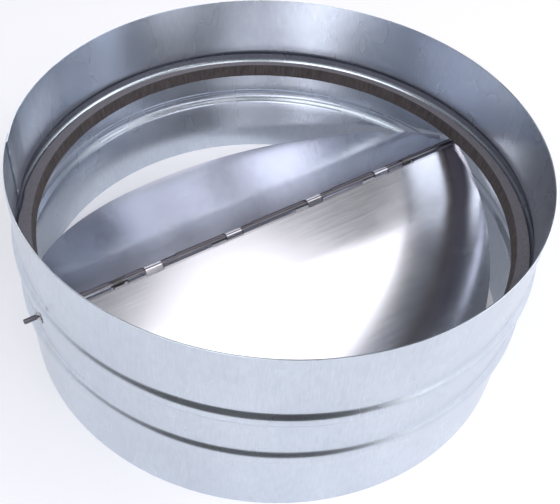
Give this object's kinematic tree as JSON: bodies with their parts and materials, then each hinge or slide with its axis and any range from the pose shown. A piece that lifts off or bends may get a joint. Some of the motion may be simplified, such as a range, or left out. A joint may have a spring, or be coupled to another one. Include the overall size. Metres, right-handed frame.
{
  "type": "duct non-return valve",
  "caption": "Round sheet-metal duct valve with two half-round flaps that swing open on one hinge pin and close against a foam seat ring.",
  "frame": {"origin": "centre of the lower rim, on the duct's axis", "axes": "+Z along the duct towards the rim that the air enters, X along the hinge pin, -Y towards the near flap"},
  "size_m": [0.3318, 0.319, 0.1335],
  "materials": {
    "galvanised_sheet": "galvanised, faint fine mottling, satin",
    "foam": "brown-grey closed-cell foam, matt",
    "pin_steel": "drawn steel rod, semi-bright",
    "flap_sheet": "bright rolled sheet, satin",
    "spring_wire": "dark spring wire",
    "washer_steel": "zinc-plated spring steel"
  },
  "bodies": {
    "casing_body": {"casing": "galvanised_sheet", "seat_ring": "foam", "hinge_pin": "pin_steel", "left_spring": "spring_wire", "right_spring": "spring_wire", "left_lock_washer": "washer_steel", "right_lock_washer": "washer_steel"},
    "near_flap_body": {"near_flap": "flap_sheet"},
    "far_flap_body": {"far_flap": "flap_sheet"}
  },
  "joints": [
    {"name": "near_flap_swing", "type": "hinge", "parent": "casing_body", "child": "near_flap_body", "pos_m": [0, 0, 0.0687], "axis": [1, 0, 0], "range_deg": [-27.6, 52], "stiffness_Nm_per_rad": 0.02, "springref_deg": -85.94, "deforming": ["left_spring", "right_spring"]},
    {"name": "far_flap_swing", "type": "hinge", "parent": "casing_body", "child": "far_flap_body", "pos_m": [0, 0, 0.0687], "axis": [-1, 0, 0], "range_deg": [-27.6, 52], "stiffness_Nm_per_rad": 0.02, "springref_deg": -85.94, "deforming": ["left_spring", "right_spring"]}
  ]
}
